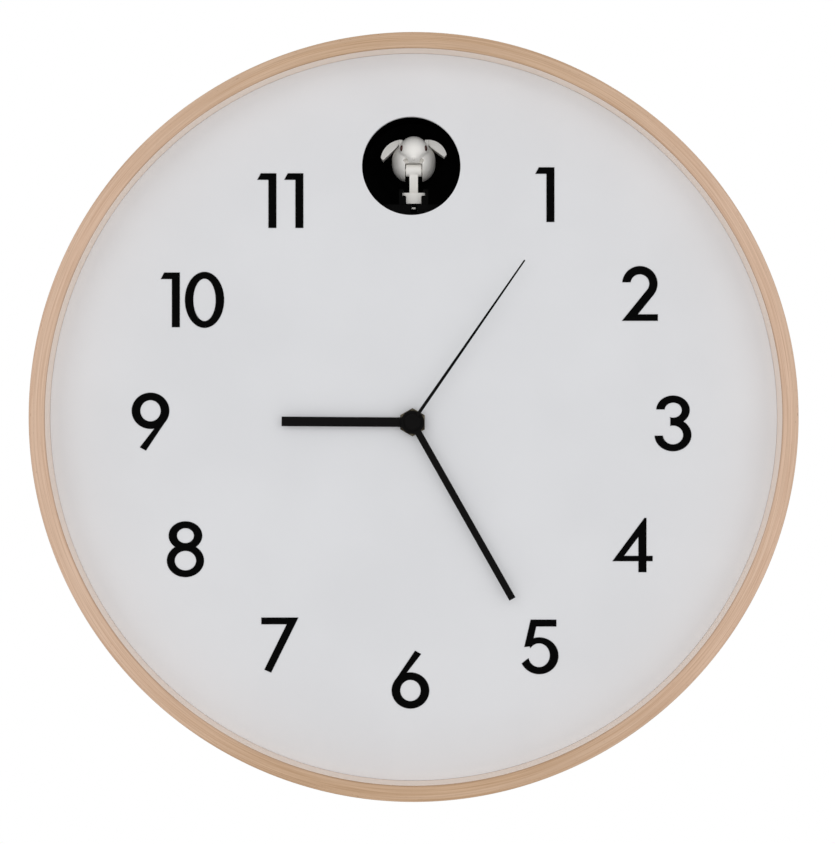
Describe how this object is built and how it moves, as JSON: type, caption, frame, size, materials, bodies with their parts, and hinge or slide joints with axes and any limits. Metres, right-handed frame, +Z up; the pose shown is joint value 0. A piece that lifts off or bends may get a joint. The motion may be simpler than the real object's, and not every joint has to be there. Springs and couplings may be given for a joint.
{
  "type": "cuckoo wall clock",
  "caption": "Round cuckoo wall clock: deep bentwood ring, recessed white dial with black numerals and hands, and a small white bird that rides out of a round port.",
  "frame": {"origin": "centre of the rounded end of the hanger's keyhole slot, in the wall plane", "axes": "+X right seen from the front, +Y from the dial towards the wall, +Z up"},
  "size_m": [0.38, 0.088, 0.38],
  "materials": {
    "bentwood": "satin lacquer",
    "plywood": "raw",
    "dial_white": "semi-gloss white",
    "print_black": "matt black print",
    "hand_black": "semi-matt black",
    "brass": "turned",
    "steel": "bright",
    "movement_black": "moulded",
    "gear_white": "moulded",
    "cannon_brass": "turned",
    "copper": "enamelled wire",
    "circuit_green": "soldered board",
    "cell_jacket": "plain jacket",
    "unit_black": "fine grained",
    "button_grey": "moulded",
    "speaker_black": "black frame",
    "bird_white": "moulded white",
    "eye_brown": "painted",
    "lead_black": "insulation"
  },
  "bodies": {
    "case": {"frame_ring": "bentwood", "dial_support_ring": "plywood", "dial": "dial_white", "numerals": "print_black", "dial_screws": "steel", "hanger_block": "plywood", "hanger_plate": "steel", "hanger_screws": "steel", "threaded_bushing": "brass", "washer": "brass", "hex_nut": "brass", "movement_case": "movement_black", "movement_cover": "movement_black", "middle_plate": "gear_white", "stator": "steel", "coil": "copper", "movement_circuit": "circuit_green", "aa_cell": "cell_jacket", "movement_contacts": "steel", "cuckoo_case": "unit_black", "back_cover": "unit_black", "door_pins": "steel", "c_cells": "cell_jacket", "cell_contacts": "steel", "speaker": "speaker_black", "sound_board": "circuit_green", "unit_screws": "steel", "cover_screws": "steel", "trigger_lead": "lead_black", "guide_rails": "unit_black", "drive_bracket": "unit_black", "motor": "steel"},
    "seconds": {"second_wheel": "gear_white", "second_hand": "hand_black"},
    "rotor_body": {"rotor": "gear_white"},
    "intermediate": {"intermediate_wheel": "gear_white"},
    "third": {"third_wheel": "gear_white"},
    "centre": {"centre_wheel": "gear_white"},
    "minutes": {"minute_cannon": "cannon_brass", "minute_hand": "hand_black"},
    "motion": {"motion_wheel": "gear_white"},
    "hours": {"hour_wheel": "gear_white", "hour_hand": "hand_black"},
    "setting": {"setting_knob": "movement_black"},
    "carriage": {"bird_carriage": "bird_white", "rack": "unit_black", "rack_key": "bird_white", "bow_pin": "steel"},
    "bird": {"bird_body": "bird_white", "bird_eyes": "eye_brown"},
    "beak": {"bird_beak": "bird_white"},
    "wing_left": {"left_wing": "bird_white"},
    "wing_right": {"right_wing": "bird_white"},
    "rack_drive": {"rack_pinion": "unit_black"},
    "reduction": {"reduction_gear": "gear_white"},
    "motor_rotor": {"motor_pinion": "gear_white"},
    "volume": {"volume_knob": "unit_black"},
    "mode": {"mode_switch": "unit_black"},
    "test": {"test_button": "button_grey"},
    "door": {"battery_door": "unit_black"}
  },
  "joints": [
    {"name": "second_spin", "type": "hinge", "parent": "case", "child": "seconds", "pos_m": [-0.0006, -0.062, -0.1746], "axis": [0, 1, 0], "continuous": true},
    {"name": "intermediate_spin", "type": "hinge", "parent": "case", "child": "intermediate", "pos_m": [0.0024, -0.062, -0.1694], "axis": [0, 1, 0], "continuous": true},
    {"name": "rotor_spin", "type": "hinge", "parent": "case", "child": "rotor_body", "pos_m": [0.00669, -0.062, -0.1658], "axis": [0, 1, 0], "continuous": true},
    {"name": "third_spin", "type": "hinge", "parent": "case", "child": "third", "pos_m": [-0.00943, -0.062, -0.1695], "axis": [0, 1, 0], "continuous": true},
    {"name": "centre_spin", "type": "hinge", "parent": "case", "child": "centre", "pos_m": [-0.0006, -0.062, -0.1746], "axis": [0, 1, 0], "continuous": true},
    {"name": "minute_spin", "type": "hinge", "parent": "case", "child": "minutes", "pos_m": [-0.0006, -0.062, -0.1746], "axis": [0, 1, 0], "continuous": true},
    {"name": "motion_spin", "type": "hinge", "parent": "case", "child": "motion", "pos_m": [0.00692, -0.062, -0.17734], "axis": [0, 1, 0], "continuous": true},
    {"name": "hour_spin", "type": "hinge", "parent": "case", "child": "hours", "pos_m": [-0.0006, -0.062, -0.1746], "axis": [0, 1, 0], "continuous": true},
    {"name": "setting_spin", "type": "hinge", "parent": "case", "child": "setting", "pos_m": [0.01464, -0.062, -0.17941], "axis": [0, 1, 0], "continuous": true},
    {"name": "bird_slide", "type": "slide", "parent": "case", "child": "carriage", "axis": [0, -1, 0], "range_m": [0, 0.036]},
    {"name": "pinion_spin", "type": "hinge", "parent": "case", "child": "rack_drive", "pos_m": [0, -0.05, -0.077], "axis": [1, 0, 0], "range_deg": [-1, 230]},
    {"name": "reduction_spin", "type": "hinge", "parent": "case", "child": "reduction", "pos_m": [0, -0.03875, -0.077], "axis": [1, 0, 0], "range_deg": [-918, 1]},
    {"name": "motor_spin", "type": "hinge", "parent": "case", "child": "motor_rotor", "pos_m": [0, -0.02795, -0.077], "axis": [1, 0, 0], "range_deg": [-1, 4586]},
    {"name": "bird_bow", "type": "hinge", "parent": "carriage", "child": "bird", "pos_m": [0, -0.047, -0.047], "axis": [1, 0, 0], "range_deg": [0, 18]},
    {"name": "beak_open", "type": "hinge", "parent": "bird", "child": "beak", "pos_m": [0, -0.0538, -0.04215], "axis": [1, 0, 0], "range_deg": [0, 22]},
    {"name": "left_wing_flap", "type": "hinge", "parent": "bird", "child": "wing_left", "pos_m": [-0.0069, -0.062, -0.0325], "axis": [0, 1, 0], "range_deg": [0, 18]},
    {"name": "right_wing_flap", "type": "hinge", "parent": "bird", "child": "wing_right", "pos_m": [0.0069, -0.062, -0.0325], "axis": [0, 1, 0], "range_deg": [-18, 0]},
    {"name": "volume_turn", "type": "hinge", "parent": "case", "child": "volume", "pos_m": [0.044, -0.062, -0.0362], "axis": [0, 1, 0], "range_deg": [-135, 135]},
    {"name": "mode_slide", "type": "slide", "parent": "case", "child": "mode", "axis": [1, 0, 0], "range_m": [0, 0.004]},
    {"name": "test_press", "type": "slide", "parent": "case", "child": "test", "axis": [0, -1, 0], "range_m": [0, 0.0015], "stiffness_N_per_m": 300, "springref_m": -0.0005},
    {"name": "door_swing", "type": "hinge", "parent": "case", "child": "door", "pos_m": [0, -0.0052, -0.0945], "axis": [1, 0, 0], "range_deg": [0, 90]}
  ],
  "couplings": [
    {"joint": "intermediate_spin", "follows": "second_spin", "ratio": -5},
    {"joint": "rotor_spin", "follows": "second_spin", "ratio": 30},
    {"joint": "third_spin", "follows": "second_spin", "ratio": -0.125},
    {"joint": "centre_spin", "follows": "second_spin", "ratio": 0.016667},
    {"joint": "motion_spin", "follows": "minute_spin", "ratio": -0.33333},
    {"joint": "hour_spin", "follows": "minute_spin", "ratio": 0.083333},
    {"joint": "setting_spin", "follows": "minute_spin", "ratio": 1},
    {"joint": "pinion_spin", "follows": "bird_slide", "rad_per_m": 111.11},
    {"joint": "reduction_spin", "follows": "bird_slide", "rad_per_m": -444.44},
    {"joint": "motor_spin", "follows": "bird_slide", "rad_per_m": 2222.2},
    {"joint": "beak_open", "follows": "bird_bow", "ratio": 1.2},
    {"joint": "left_wing_flap", "follows": "bird_bow", "ratio": 1},
    {"joint": "right_wing_flap", "follows": "bird_bow", "ratio": -1}
  ]
}
